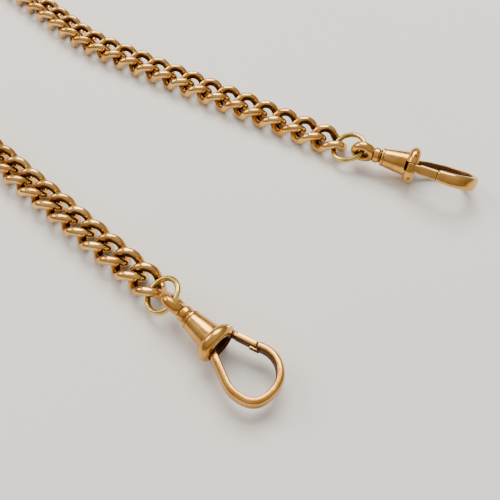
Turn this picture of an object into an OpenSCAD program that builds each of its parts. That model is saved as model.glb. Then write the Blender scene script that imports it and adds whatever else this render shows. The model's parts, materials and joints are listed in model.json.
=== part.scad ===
// Pocket watch chain: a double Albert of twisted curb links, laid on a table in a long U,
// with a jump ring and a swivelling sprung clip at each end.
// Millimetres, +Z up, the table is z = 0, the origin is under the middle of the laid chain.

/* [Curb links] */
// Wire diameter of a curb link
wire_d = 1.6; // [1.5:0.05:1.65]
// Outside length of one link
link_length = 8.3; // [8.2:0.05:8.4]
// Distance from one link to the next along the chain
pitch = 4.7; // [4.6:0.05:4.8]
// Centreline radius of the rounded end of a link
bend_r = 1.9; // [1.8:0.05:1.95]
// Angle that each end of a link is twisted away from the table
bend_tilt = 47; // [46:1:49]
// Half of the angle that the rounded end sweeps
bend_half = 32; // [30:1:36]

/* [Jump rings] */
// Wire diameter of a jump ring
ring_wire_d = 1.05; // [1.0:0.05:1.1]
// Outside diameter of a jump ring
ring_outer_d = 7.4; // [7.2:0.1:7.6]
// Lean of the watch-end ring, its far side up
watch_ring_roll = 23; // [20:1:26]
// Lean of the fob-end ring, its far side up
fob_ring_roll = 16; // [14:1:19]

/* [Swivel eye] */
// Centreline radius of the eye
eye_r = 1.55; // [1.5:0.05:1.6]
// Thickness of the eye's wire round its hole
eye_wire_d = 1.4; // [1.3:0.05:1.45]
// Width of the eye's wire along the axis of its hole
eye_w = 1.6; // [1.5:0.05:1.65]
// Diameter of the bead under the eye
bead_d = 3.0; // [2.8:0.1:3.2]
// Diameter of the shank that turns in the barrel
shank_d = 1.2; // [1.1:0.1:1.3]
// Radial running clearance of the shank
shank_fit = 0.05; // [0.03:0.01:0.08]

/* [Barrel] */
// Diameter of the small end of the barrel
barrel_small_d = 3.6; // [3.4:0.1:3.8]
// Diameter of the large end of the barrel
barrel_large_d = 4.9; // [4.8:0.1:5.0]
// Distance from the eye's centre to the small end of the barrel
barrel_start = 3.85; // [3.8:0.05:4.0]
// Distance from the eye's centre to the middle of the collar
collar_x = 9.9; // [9.8:0.1:10]
// Outside diameter of the collar
collar_d = 7.2; // [7.0:0.1:7.3]
// Thickness of the barrel wall
wall = 0.45; // [0.4:0.05:0.5]

/* [Hook] */
// Width of the hook band across the plane of the loop
hook_w = 2.6; // [2.5:0.1:2.7]
// Thickness of the hook band in the plane of the loop
hook_t = 1.4; // [1.3:0.05:1.45]
// Centreline radius of the round part of the loop
loop_r = 4.4; // [4.3:0.1:4.5]
// Distance from the eye's centre to the middle of the loop
loop_x = 17.5; // [17.4:0.1:17.6]
// Sideways offset of the loop's middle towards the gate
loop_y = 0.45; // [0.3:0.05:0.6]
// Half of the angle left open towards the collar on the spine side
spine_open = 68; // [66:1:70]
// Angle left open towards the collar on the nose side
nose_open = 70; // [68:1:74]

/* [Gate] */
// Distance from the eye's centre to the gate pin along the clip
pin_x = 10.0; // [9.9:0.1:10.1]
// Distance of the gate pin from the axis of the clip
pin_y = 2.75; // [2.7:0.05:2.8]
// Diameter of the gate pin
pin_d = 0.6; // [0.5:0.05:0.65]
// Radial running clearance of the gate on its pin
pin_fit = 0.04; // [0.03:0.01:0.06]
// Width of the gate's knuckle along the pin
knuckle_w = 1.6; // [1.5:0.05:1.65]
// Thickness of the gate bar
gate_t = 1.15; // [1.0:0.05:1.2]
// Width of the gate bar
gate_w = 1.9; // [1.8:0.1:2.0]

/* [Layout on the table] */
// Heading of each visible strand away from the length of the layout
strand_angle = 5.6; // [5:0.1:6]
// Outward heading of the unseen run on the watch side
watch_run_angle = 1.4; // [1:0.1:2]
// Outward heading of the unseen run on the fob side
fob_run_angle = 9.0; // [8.6:0.1:9.4]
// Distance of the watch-end link from the middle of the layout, along X
start_x = 48.6; // [40:0.1:60]
// Distance of the watch-end link from the middle of the layout, along Y
start_y = -24.15; // [-30:0.05:-20]

/* [Hidden] */
$fn = 64;
end_links = 12;        // links that are nodes of their own at each end
middle_nodes = 20;     // nodes of two interlocked links between them
side_names = ["watch_end", "fob_end"];
function two_digits(k) = k < 10 ? str("0", k) : str(k);
clip_parts = ["jump_ring", "swivel_eye", "barrel", "collar", "hook", "gate", "gate_pin", "gate_spring"];

gold = "#c9913f";
ring_gold = "#bfa048";
steel = "#8d8a80";

// ---- the chain's path: one heading for each link, from the watch end round to the fob end ----
ease_links = 3;        // links over which a strand changes heading
run_links = 9;         // links of each unseen run
turn_links = 16;       // links of the U turn
link_count = 2 * end_links + 2 * middle_nodes;
watch_ease = (strand_angle + watch_run_angle) / ease_links;
fob_ease = (strand_angle + fob_run_angle) / ease_links;
turn_step = (180 + watch_run_angle + fob_run_angle) / turn_links;
headings = concat(
    [for (i = [1:end_links]) 180 - strand_angle],
    [for (i = [1:ease_links]) 180 - strand_angle + i * watch_ease],
    [for (i = [1:run_links]) 180 + watch_run_angle],
    [for (i = [1:turn_links]) 180 + watch_run_angle - i * turn_step],
    [for (i = [1:run_links]) -fob_run_angle],
    [for (i = [1:ease_links]) -fob_run_angle + i * fob_ease],
    [for (i = [1:end_links]) strand_angle]);
function along(a) = [cos(a), sin(a)];
places = [for (i = 0, p = [start_x, start_y]; i < link_count;
    p = i + 1 < link_count ? p + pitch / 2 * (along(headings[i]) + along(headings[i + 1])) : p,
    i = i + 1) p];

// ---- curb link: six arcs of wire that meet on one tangent ----
link_reach = (link_length - wire_d) / 2;
bend_c = link_reach - bend_r;
// where the rounded end stops on the near side, and its direction there
leg = [bend_c + bend_r * cos(bend_half),
    -bend_r * sin(bend_half) * cos(bend_tilt),
    bend_r * sin(bend_half) * sin(bend_tilt)];
leg_dir = [-sin(bend_half), -cos(bend_half) * cos(bend_tilt), cos(bend_half) * sin(bend_tilt)];
// the side's middle lies on the y axis, at the one distance that makes the arcs tangent there
side_a = -(leg_dir.x * leg.x + leg_dir.z * leg.z);
side_b = leg.x * leg.x + leg.z * leg.z;
side_v = (-side_a + sqrt(side_a * side_a + leg_dir.y * leg_dir.y * side_b)) / leg_dir.y;
side_mid = [0, leg.y + side_v, 0];
chord = side_mid - leg;
side_in = chord - (chord * leg_dir) * leg_dir;
side_n = side_in / norm(side_in);
side_r = (chord * chord) / (2 * (chord * side_n));
side_sweep = 2 * acos((chord * leg_dir) / norm(chord));
// half of the height of a link's wire, found along the side arc
link_half_h = max([for (t = [0:2:side_sweep])
    abs((leg + side_r * side_n - side_r * cos(t) * side_n + side_r * sin(t) * leg_dir).z)])
    + wire_d / 2;
lift = link_half_h;
joint_inset = 0.06;    // how far short of a joint an arc of wire stops
joint_proud = 0.03;    // how far the joint's ball stands out of the wire

// An arc of wire about c that starts along u and turns towards v through the angle a.
// It stops short at both ends, inside the ball that joins it to the next arc.
module wire_arc(c, u, v, r, a, d) {
    w = cross(u, v);
    short = joint_inset / r * 180 / PI;
    multmatrix([
        [u.x, v.x, w.x, c.x],
        [u.y, v.y, w.y, c.y],
        [u.z, v.z, w.z, c.z],
        [0, 0, 0, 1]])
    rotate([0, 0, short]) rotate_extrude(angle = a - 2 * short, $fn = 96)
    translate([r, 0]) circle(d = d);
}
module joint_ball(p) {
    translate(p) sphere(d = wire_d + 2 * joint_proud, $fn = 64);
}

module half_link() {
    out = [cos(bend_half), sin(bend_half) * cos(bend_tilt), -sin(bend_half) * sin(bend_tilt)];
    turn = [-sin(bend_half), cos(bend_half) * cos(bend_tilt), -cos(bend_half) * sin(bend_tilt)];
    wire_arc([bend_c, 0, 0], out, -turn, bend_r, 2 * bend_half, wire_d);
    for (a = [0, 180]) rotate([a, 0, 0]) {
        wire_arc(leg + side_r * side_n, -side_n, leg_dir, side_r, side_sweep, wire_d);
        joint_ball(leg);
    }
    joint_ball(side_mid);
}

module curb_link() {
    half_link();
    rotate([0, 0, 180]) half_link();
}

module link_at(i) {
    color(gold) translate([places[i].x, places[i].y, lift]) rotate([0, 0, headings[i]]) curb_link();
}

module middle_links(k) {
    link_at(end_links + 2 * k - 2);
    link_at(end_links + 2 * k - 1);
}

// ---- clip frame: origin in the middle of the eye, +X towards the hook, gate on the +Y side ----
// side: 0 watch end, 1 fob end
end_link = [0, link_count - 1];
end_heading = [-strand_angle, strand_angle];
ring_yaw = [-10, -2];          // heading of each jump ring, from the link to the eye
clip_yaw = [-7.2, 15];         // heading of each clip
clip_dip = [4, 1];             // nose-down tilt of each clip
ring_roll = [watch_ring_roll, fob_ring_roll];
eye_roll = [32, 5];            // turn of each eye about the clip's axis
clip_roll = [0, 142];          // turn of each barrel and hook about the clip's axis
ring_r = (ring_outer_d - ring_wire_d) / 2;
play = 0.13;                   // gap left between a link's end and its ring's wire
eye_play = 0.25;               // gap left between an eye and the ring that it hangs on
link_grip = link_reach - wire_d / 2 - ring_wire_d / 2 - play;  // link centre to the ring's wire
eye_grip = eye_r - eye_wire_d / 2 - ring_wire_d / 2 - eye_play;  // eye centre to the ring's wire
ring_slack = [0.4, 0.3];        // how far each ring lies back from the end of its link
function link_grip_at(s) = [
    places[end_link[s]].x + (link_grip - ring_slack[s]) * cos(end_heading[s]),
    places[end_link[s]].y + (link_grip - ring_slack[s]) * sin(end_heading[s]),
    lift];
function heading3(yaw, rise) = [cos(yaw) * cos(rise), sin(yaw) * cos(rise), sin(rise)];
// the collar rests on the table, and the ring rises from the link to the eye at that height
function eye_height(s) = collar_mid_r * cos(clip_dip[s]) + collar_tube_r + collar_x * sin(clip_dip[s]);
function ring_rise(s) = asin((eye_height(s) + eye_grip * sin(clip_dip[s]) - lift) / (2 * ring_r));
function ring_centre(s) = link_grip_at(s) + ring_r * heading3(ring_yaw[s], ring_rise(s));
function eye_grip_at(s) = ring_centre(s) + ring_r * heading3(ring_yaw[s], ring_rise(s));
function eye_centre(s) = eye_grip_at(s) + eye_grip * heading3(clip_yaw[s], -clip_dip[s]);

module clip_frame(s) {
    translate(eye_centre(s)) rotate([0, clip_dip[s], clip_yaw[s]]) children();
}
module turned_frame(s) {
    clip_frame(s) rotate([clip_roll[s], 0, 0]) children();
}
// a solid of revolution about the clip's axis, from points [distance along the axis, radius]
module lathe(points) {
    rotate([0, 90, 0]) rotate_extrude($fn = 96)
        polygon([for (p = points) [p.y, p.x]]);
}

module jump_ring(s) {
    color(ring_gold)
    translate(ring_centre(s)) rotate([0, -ring_rise(s), ring_yaw[s]]) rotate([ring_roll[s], 0, 0])
    rotate_extrude($fn = 96) translate([ring_r, 0]) circle(d = ring_wire_d);
}

// the eye's wire is wider along the axis of its hole than it is thick
module eye_section() {
    half = (eye_w - eye_wire_d) / 2;
    for (y = [-half, half]) translate([eye_r, y]) circle(d = eye_wire_d);
    translate([eye_r - eye_wire_d / 2, -half]) square([eye_wire_d, 2 * half]);
}
shank_r = shank_d / 2;
bead_x = [2.35, 3.45];         // ends of the bead under the eye
head_x = 5.2;                  // start of the riveted head inside the barrel
head_t = 0.5;
head_r = 1.15;
module swivel_eye(s) {
    color(gold) clip_frame(s) rotate([eye_roll[s], 0, 0]) {
        rotate([90, 0, 0]) rotate_extrude($fn = 96) eye_section();
        lathe([[eye_r + 0.25, 0], [eye_r + 0.25, 0.85], [bead_x[0], 1.2], [bead_x[0] + 0.25, bead_d / 2],
            [bead_x[1] - 0.25, bead_d / 2], [bead_x[1], 1.3], [barrel_start - 0.06, 1.3],
            [barrel_start - 0.06, shank_r], [head_x, shank_r], [head_x, head_r],
            [head_x + head_t * 0.6, head_r], [head_x + head_t, 0.7], [head_x + head_t, 0]]);
    }
}

collar_mid_r = 2.5;
collar_tube_r = collar_d / 2 - collar_mid_r;
tube_r = barrel_large_d / 2;
tube_end = collar_x + 0.85;    // mouth end of the barrel tube, inside the collar
taper_end = collar_x - 1.05;   // where the tapered part of the barrel meets the collar
bore_r = tube_r - wall;
module barrel_blank() {
    lathe([[barrel_start, 0], [barrel_start, barrel_small_d / 2 - 0.15],
        [barrel_start + 0.15, barrel_small_d / 2], [barrel_start + 0.5, barrel_small_d / 2],
        [taper_end, tube_r], [tube_end, tube_r], [tube_end, 0]]);
}
module barrel_bore() {
    lathe([[barrel_start + 1.2, 0], [barrel_start + 1.2, barrel_small_d / 2 - wall],
        [taper_end, bore_r], [tube_end + 1, bore_r], [tube_end + 1, 0]]);
    translate([barrel_start - 1, 0, 0]) rotate([0, 90, 0])
        cylinder(r = shank_r + shank_fit, h = 4, $fn = 64);
}
slot_gap = 0.12;               // side clearance of the knuckle in its slot
slot_w = knuckle_w + 2 * slot_gap;
module knuckle_slot() {
    translate([pin_x - 1.35, 1.35, -slot_w / 2]) cube([4, 4, slot_w]);
}
module pin_hole(r) {
    translate([pin_x, pin_y, -3]) cylinder(r = r, h = 6, $fn = 48);
}
module barrel(s) {
    color(gold) turned_frame(s) difference() {
        barrel_blank();
        barrel_bore();
        knuckle_slot();
    }
}
module collar(s) {
    color(gold) turned_frame(s) difference() {
        translate([collar_x, 0, 0]) rotate([0, 90, 0])
            rotate_extrude($fn = 96) translate([collar_mid_r, 0]) circle(r = collar_tube_r);
        translate([collar_x - 2, 0, 0]) rotate([0, 90, 0]) cylinder(r = tube_r, h = 4, $fn = 96);
        knuckle_slot();
        pin_hole(pin_d / 2);
    }
}

// ---- hook: a D-shaped band, domed outside and flat inside ----
dome_r = hook_w / 2;
dome_in = hook_t / 2 - dome_r;
module band_section() {
    intersection() {
        translate([dome_in, 0]) circle(r = dome_r);
        translate([-hook_t / 2, -hook_w / 2]) square([hook_t, hook_w]);
    }
}
spine_a = -180 + spine_open;   // where the straight spine meets the round of the loop
nose_a = 180 - nose_open;      // where the round of the loop meets the nose
loop_c = [loop_x, loop_y, 0];
spine_start = loop_c + loop_r * [cos(spine_a), sin(spine_a), 0];
root_x = collar_x + 0.55;      // where the spine is let into the mouth of the barrel
spine_len = (spine_start.x - root_x) / sin(-spine_a);
nose_len = 1.0;
band_inset = 0.05;     // how far short of a joint each length of band stops
band_joint = 0.3;      // length of the joint
module hook_joint(a) {
    translate(loop_c + loop_r * [cos(a), sin(a), 0]) rotate([0, 0, a]) rotate([90, 0, 0])
        translate([0, 0, -band_joint / 2]) linear_extrude(band_joint) scale(1.04) band_section();
}
module hook(s) {
    inset_a = band_inset / loop_r * 180 / PI;
    color(gold) turned_frame(s) {
        translate(loop_c) rotate([0, 0, spine_a + inset_a])
            rotate_extrude(angle = nose_a - spine_a - 2 * inset_a, $fn = 128)
            translate([loop_r, 0]) band_section();
        hook_joint(spine_a);
        translate(spine_start) rotate([0, 0, spine_a]) rotate([90, 0, 0])
            translate([0, 0, band_inset]) linear_extrude(spine_len) band_section();
        hook_joint(nose_a);
        translate(loop_c + loop_r * [cos(nose_a), sin(nose_a), 0]) rotate([0, 0, nose_a])
            rotate([90, 0, 0]) translate([0, 0, -nose_len])
            linear_extrude(nose_len - band_inset) band_section();
    }
}

// ---- gate: a knuckle on its pin, a bar to the nose, a tongue behind the nose and a tail ----
nose_tip = loop_c + loop_r * [cos(nose_a), sin(nose_a), 0]
    + nose_len * [-sin(nose_a), cos(nose_a), 0];
nose_dir = nose_a + 90;        // direction in which the nose points, towards the gate
gate_gap = 0.15;
gate_tip = nose_tip + gate_gap * [cos(nose_dir), sin(nose_dir), 0];
gate_run = [gate_tip.x - pin_x, gate_tip.y - pin_y, 0];
gate_len = norm(gate_run);
gate_a = atan2(gate_run.y, gate_run.x);
knuckle_r = 0.85;
tongue_t = 0.3;
tongue_len = 0.9;
tail_len = 1.9;
module gate(s) {
    color(gold) turned_frame(s) difference() {
        union() {
            translate([pin_x, pin_y, -knuckle_w / 2]) cylinder(r = knuckle_r, h = knuckle_w, $fn = 64);
            translate([pin_x, pin_y, 0]) rotate([0, 0, gate_a]) {
                translate([0, -gate_t / 2, -knuckle_w / 2]) cube([2, gate_t, knuckle_w]);
                translate([1.45, -gate_t / 2, -gate_w / 2]) cube([gate_len - 1.45, gate_t, gate_w]);
                translate([gate_len - 0.8, -hook_t / 2 - tongue_t - 0.05, -0.5])
                    cube([tongue_len + 0.8, tongue_t, 1.0]);
                translate([gate_len - 0.8, -hook_t / 2 - tongue_t - 0.05, -0.5])
                    cube([0.8, 0.8, 1.0]);
            }
            translate([pin_x, pin_y, 0]) rotate([0, 0, -105])
                translate([0, -0.3, -0.5]) cube([tail_len, 0.6, 1.0]);
        }
        pin_hole(pin_d / 2 + pin_fit);
    }
}
module gate_pin(s) {
    pin_len = 3.9;
    color(gold) turned_frame(s) translate([pin_x, pin_y, -pin_len / 2])
        cylinder(d = pin_d, h = pin_len, $fn = 48);
}
// leaf spring: from its seat in the barrel's wall round to the gate's tail
spring_t = 0.15;
spring_w = 0.9;
spring_r = 3.0;
spring_c = [6.2, 1.45, -spring_w / 2];
module gate_spring(s) {
    color(steel) turned_frame(s) translate(spring_c) rotate([0, 0, -90])
        rotate_extrude(angle = 80, $fn = 96)
        translate([spring_r - spring_t, 0]) square([spring_t, spring_w]);
}

for (k = [1:end_links]) {
    link_at(k - 1);
    link_at(link_count - k);
}
for (k = [1:middle_nodes]) {
    middle_links(k);
}
for (s = [0, 1]) {
    jump_ring(s);
    swivel_eye(s);
    barrel(s);
    collar(s);
    hook(s);
    gate(s);
    gate_pin(s);
    gate_spring(s);
}
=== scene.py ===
import json
import logging
import math
from collections.abc import Callable
from dataclasses import dataclass
from enum import Enum

import bpy
import numpy as np
from mathutils import Matrix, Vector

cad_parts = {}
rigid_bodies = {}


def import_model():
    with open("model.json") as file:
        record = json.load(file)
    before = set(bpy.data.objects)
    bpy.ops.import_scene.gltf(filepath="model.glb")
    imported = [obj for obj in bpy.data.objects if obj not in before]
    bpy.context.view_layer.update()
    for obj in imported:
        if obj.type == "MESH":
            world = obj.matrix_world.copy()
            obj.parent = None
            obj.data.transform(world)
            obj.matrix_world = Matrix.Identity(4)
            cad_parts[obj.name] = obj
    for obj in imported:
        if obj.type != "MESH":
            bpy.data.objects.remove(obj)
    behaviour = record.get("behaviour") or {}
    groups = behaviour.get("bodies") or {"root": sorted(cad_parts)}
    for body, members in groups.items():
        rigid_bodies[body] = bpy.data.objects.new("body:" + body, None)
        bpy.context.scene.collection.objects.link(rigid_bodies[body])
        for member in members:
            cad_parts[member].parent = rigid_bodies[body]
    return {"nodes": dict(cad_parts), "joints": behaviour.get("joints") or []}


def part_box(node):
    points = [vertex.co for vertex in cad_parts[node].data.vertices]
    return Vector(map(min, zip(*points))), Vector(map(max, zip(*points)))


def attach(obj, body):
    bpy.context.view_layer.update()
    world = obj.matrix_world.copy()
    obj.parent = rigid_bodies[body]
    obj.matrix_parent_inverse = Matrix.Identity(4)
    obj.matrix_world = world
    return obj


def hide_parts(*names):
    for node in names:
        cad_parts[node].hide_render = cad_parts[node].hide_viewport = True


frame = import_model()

LOG = logging.getLogger("watch_chain")
MM = 0.001
Array = np.ndarray
Paint = Callable[[Array, Array], Array]


# ---------------------------------------------------------------- numbers and vectors
def unit(v: Array) -> Array:
    """Scale vectors along the last axis to length one.

    Args:
        v: one vector or an array of them.
    Returns:
        The same array with unit vectors.
    """
    return v / np.linalg.norm(v, axis=-1, keepdims=True)


def smooth_step(low: float, high: float, x: Array) -> Array:
    """Cubic step 3t^2 - 2t^3, where t runs from 0 at low to 1 at high.

    Args:
        low: where the step starts.
        high: where the step ends.
        x: values to step.
    Returns:
        Array between 0 and 1.
    """
    t = np.clip((x - low) / (high - low), 0.0, 1.0)
    return t * t * (3.0 - 2.0 * t)


def bump_at(x: Array, centre: float, width: float) -> Array:
    """Bell curve exp(-((x - centre) / width)^2).

    Args:
        x: values along the piece.
        centre: where the bell is highest.
        width: distance from the middle to 1/e of the height.
    Returns:
        Array between 0 and 1.
    """
    return np.exp(-(((x - centre) / width) ** 2))


def soft_limit(x: Array, limit: float, softness: float) -> Array:
    """Press values flat towards +-limit: sign(x) * (limit - s*log(1 + exp((limit - |x|)/s))).

    Args:
        x: coordinates of a surface.
        limit: where a file or a roller has flattened it.
        softness: rounding of the edge of the flat.
    Returns:
        Array that never passes the limit.
    """
    room = (limit - np.abs(x)) / softness
    return np.sign(x) * (limit - softness * np.logaddexp(0.0, room))


def rotation(degrees: float, axis: str) -> Array:
    """Rotation about X, Y or Z as a 3 by 3 matrix.

    Args:
        degrees: right-handed turn.
        axis: "X", "Y" or "Z".
    Returns:
        The matrix.
    """
    return np.array(Matrix.Rotation(math.radians(degrees), 3, axis))


# ---------------------------------------------------------------- surfaces
def grid_faces(rows: int, columns: int, wrap_rows: bool, wrap_columns: bool) -> Array:
    """Quads that join a grid of points, row by row.

    Args:
        rows: points along the first parameter.
        columns: points along the second parameter.
        wrap_rows: join the last row to the first.
        wrap_columns: join the last column to the first.
    Returns:
        Array of point numbers, four to a face.
    """
    i, j = np.meshgrid(
        np.arange(rows if wrap_rows else rows - 1),
        np.arange(columns if wrap_columns else columns - 1),
        indexing="ij",
    )
    a, b = i * columns, (i + 1) % rows * columns
    c, d = j, (j + 1) % columns
    return np.stack([a + c, a + d, b + d, b + c], -1).reshape(-1, 4)


def new_mesh(name: str, points: Array, faces: list[tuple[int, ...]]) -> bpy.types.Object:
    """Make an object from points and faces, with its faces turned outwards.

    Args:
        name: name of the object.
        points: array of corner points.
        faces: point numbers of each face.
    Returns:
        The object, linked to the scene.
    """
    mesh = bpy.data.meshes.new(name)
    mesh.from_pydata(points.tolist(), [], faces)
    mesh.update()
    mesh.calc_loop_triangles()
    loops = np.zeros(len(mesh.loop_triangles) * 3, np.int32)
    mesh.loop_triangles.foreach_get("vertices", loops)
    a, b, c = points[loops.reshape(-1, 3)].transpose(1, 0, 2)
    if np.einsum("ij,ij->", a, np.cross(b, c)) < 0:
        mesh.flip_normals()
    obj = bpy.data.objects.new(name, mesh)
    bpy.context.scene.collection.objects.link(obj)
    return obj


def closed_tube(name: str, points: Array) -> bpy.types.Object:
    """Closed surface of a wire that meets itself, from a grid that wraps both ways.

    Args:
        name: name of the object.
        points: grid (along, around, 3).
    Returns:
        The object.
    """
    rows, columns = points.shape[:2]
    faces = grid_faces(rows, columns, True, True)
    return new_mesh(name, points.reshape(-1, 3), faces.tolist())


def capped_tube(name: str, points: Array) -> bpy.types.Object:
    """Closed surface of a length of band: a grid that wraps around, and a point in each end.

    Args:
        name: name of the object.
        points: grid (along, around, 3).
    Returns:
        The object.
    """
    rows, columns = points.shape[:2]
    flat = points.reshape(-1, 3)
    poles = np.stack([points[0].mean(0), points[-1].mean(0)])
    around = np.arange(columns)
    after = (around + 1) % columns
    last = (rows - 1) * columns
    size = rows * columns
    first_cap = np.stack([np.full(columns, size), after, around], -1)
    last_cap = np.stack([np.full(columns, size + 1), last + around, last + after], -1)
    faces = grid_faces(rows, columns, False, True).tolist() + first_cap.tolist() + last_cap.tolist()
    return new_mesh(name, np.concatenate([flat, poles]), faces)


def sweep(path: Array, out: Array, across: Array, section: Array) -> Array:
    """Carry a section along a path: path + out * section_0 + across * section_1.

    Args:
        path: points (n, 3).
        out: unit vectors (n, 3) of the section's first axis.
        across: unit vectors (n, 3) of its second axis.
        section: one outline (m, 2), or one for each point (n, m, 2).
    Returns:
        Grid (n, m, 3).
    """
    if section.ndim == 2:
        section = np.broadcast_to(section, (len(path), *section.shape))
    return path[:, None] + out[:, None] * section[..., :1] + across[:, None] * section[..., 1:]


def ring_section(radius: float, points: int) -> Array:
    """Circle (radius cos a, radius sin a).

    Args:
        radius: radius of the wire.
        points: number of points.
    Returns:
        Array (points, 2).
    """
    a = np.linspace(0.0, 2.0 * math.pi, points, endpoint=False)
    return radius * np.stack([np.cos(a), np.sin(a)], -1)


def rounded_line(corners: list[tuple[float, float]], radius: float, steps: int = 7) -> Array:
    """Line through corners, each rounded by a quadratic curve that starts radius before it.

    Each corner C becomes (1-t)^2 A + 2t(1-t) C + t^2 B, with A and B on its two sides.

    Args:
        corners: points of the outline; the two ends stay sharp.
        radius: how far from a corner its rounding starts, at most 45% of a side.
        steps: points along each rounding.
    Returns:
        Array (n, 2).
    """
    p = np.array(corners)
    sides = np.linalg.norm(np.diff(p, axis=0), axis=1)
    cut = np.minimum(radius, 0.45 * np.minimum(sides[:-1], sides[1:]))[:, None]
    before = p[1:-1] + unit(p[:-2] - p[1:-1]) * cut
    after = p[1:-1] + unit(p[2:] - p[1:-1]) * cut
    t = np.linspace(0.0, 1.0, steps)[None, :, None]
    curve = (1 - t) ** 2 * before[:, None] + 2 * t * (1 - t) * p[1:-1, None] + t**2 * after[:, None]
    return np.concatenate([p[:1], curve.reshape(-1, 2), p[-1:]])


def dense_line(line: Array, longest: float) -> Array:
    """Add points to a line so that no stretch is longer than a limit.

    Args:
        line: points (n, 2).
        longest: limit in millimetres.
    Returns:
        Array (m, 2).
    """
    lengths = np.linalg.norm(np.diff(line, axis=0), axis=1)
    parts = np.maximum(1, np.ceil(lengths / longest).astype(int))
    start = np.repeat(np.arange(len(parts)), parts)
    first = np.repeat(np.cumsum(parts) - parts, parts)
    t = ((np.arange(parts.sum()) - first) / parts[start])[:, None]
    return np.concatenate([line[start] * (1 - t) + line[start + 1] * t, line[-1:]])


def turned_shape(name: str, profile: Array, points: int = 128) -> bpy.types.Object:
    """Shape turned on a lathe about X: (x, r) becomes (x, r cos a, r sin a).

    Args:
        name: name of the object.
        profile: outline (n, 2) of distance along the axis and radius, from axis to axis.
        points: points around.
    Returns:
        The object.
    """
    a = np.linspace(0.0, 2.0 * math.pi, points, endpoint=False)
    inner = profile[1:-1]
    radius = inner[:, 1:2]
    along = np.broadcast_to(inner[:, :1], (len(inner), points))
    grid = np.stack([along, radius * np.cos(a), radius * np.sin(a)], -1)
    return capped_tube(name, grid)


def turned_ring(name: str, outline: Array, points: int = 128) -> bpy.types.Object:
    """Ring turned about X from a closed outline: (x, r) becomes (x, r cos a, r sin a).

    Args:
        name: name of the object.
        outline: closed outline (n, 2) of distance along the axis and radius.
        points: points around.
    Returns:
        The object.
    """
    a = np.linspace(0.0, 2.0 * math.pi, points, endpoint=False)
    radius = outline[:, 1:2]
    along = np.broadcast_to(outline[:, :1], (len(outline), points))
    return closed_tube(name, np.stack([along, radius * np.cos(a), radius * np.sin(a)], -1))


def rounded_block(name: str, size: tuple[float, float, float], round_by: float) -> bpy.types.Object:
    """Block with rounded edges, centred on the origin.

    Args:
        name: name of the object.
        size: full lengths along X, Y and Z.
        round_by: radius of the edges.
    Returns:
        The object.
    """
    half = np.array(size) / 2
    corners = np.array([[x, y, z] for x in (-1, 1) for y in (-1, 1) for z in (-1, 1)]) * half
    quads = [(0, 1, 3, 2), (4, 6, 7, 5), (0, 4, 5, 1), (2, 3, 7, 6), (0, 2, 6, 4), (1, 5, 7, 3)]
    obj = new_mesh(name, corners, quads)
    if round_by > 0:
        bevel = obj.modifiers.new("edges", "BEVEL")
        bevel.width = round_by
        bevel.segments = 4
        apply_modifiers(obj)
    return obj


def apply_modifiers(obj: bpy.types.Object) -> None:
    """Replace an object's mesh by the result of its modifiers.

    Args:
        obj: the object to finish.
    """
    graph = bpy.context.evaluated_depsgraph_get()
    result = bpy.data.meshes.new_from_object(obj.evaluated_get(graph))
    obj.modifiers.clear()
    old = obj.data
    obj.data = result
    bpy.data.meshes.remove(old)


class Join(Enum):
    """Ways of joining two closed shapes."""

    UNION = "UNION"
    CUT = "DIFFERENCE"


def join(base: bpy.types.Object, tool: bpy.types.Object, how: Join) -> bpy.types.Object:
    """Join a tool shape to a base shape and remove the tool.

    Args:
        base: shape that stays.
        tool: shape that is added or taken away.
        how: the way of joining.
    Returns:
        The base object.
    """
    step = base.modifiers.new("join", "BOOLEAN")
    step.operation = how.value
    step.solver = "EXACT"
    step.object = tool
    apply_modifiers(base)
    bpy.data.objects.remove(tool)
    return base


def move_points(obj: bpy.types.Object, matrix: Array, offset: Array) -> bpy.types.Object:
    """Turn and shift an object's mesh: p becomes matrix p + offset.

    Args:
        obj: object whose mesh is moved.
        matrix: 3 by 3 matrix.
        offset: shift.
    Returns:
        The same object.
    """
    full = np.eye(4)
    full[:3, :3] = matrix
    full[:3, 3] = offset
    obj.data.transform(Matrix(full.tolist()))
    return obj


def mesh_arrays(obj: bpy.types.Object) -> tuple[Array, Array]:
    """Points and point normals of a mesh.

    Args:
        obj: object to read.
    Returns:
        Two arrays (n, 3).
    """
    count = len(obj.data.vertices)
    points = np.zeros(count * 3, np.float32)
    normals = np.zeros(count * 3, np.float32)
    obj.data.vertices.foreach_get("co", points)
    obj.data.vertex_normals.foreach_get("vector", normals)
    return points.reshape(-1, 3).astype(float), normals.reshape(-1, 3).astype(float)


def paint(obj: bpy.types.Object, shade: Paint, name: str = "recess") -> None:
    """Store how dark with painted shade and old oxide each point of a piece is.

    Args:
        obj: object to paint.
        shade: gives a value from 0 to 1 for points and normals in the piece's own frame.
        name: name of the attribute that materials read.
    """
    points, normals = mesh_arrays(obj)
    value = np.clip(shade(points, normals), 0.0, 1.0)
    attribute = obj.data.attributes.new(name, "FLOAT", "POINT")
    attribute.data.foreach_set("value", value.astype(np.float32))


@dataclass(frozen=True)
class Seat:
    """A place in the frame of the part, in metres: its origin and its three axes as columns."""

    origin: Array
    axes: Array

    def settle(self, obj: bpy.types.Object, crease: float = 35.0) -> bpy.types.Object:
        """Move a piece from millimetres in its own frame to its place, and shade it smooth.

        Args:
            obj: the piece.
            crease: edges sharper than this many degrees stay sharp.
        Returns:
            The piece.
        """
        move_points(obj, self.axes * MM, self.origin)
        obj.data.shade_smooth()
        obj.data.set_sharp_from_angle(angle=math.radians(crease))
        return obj


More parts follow.
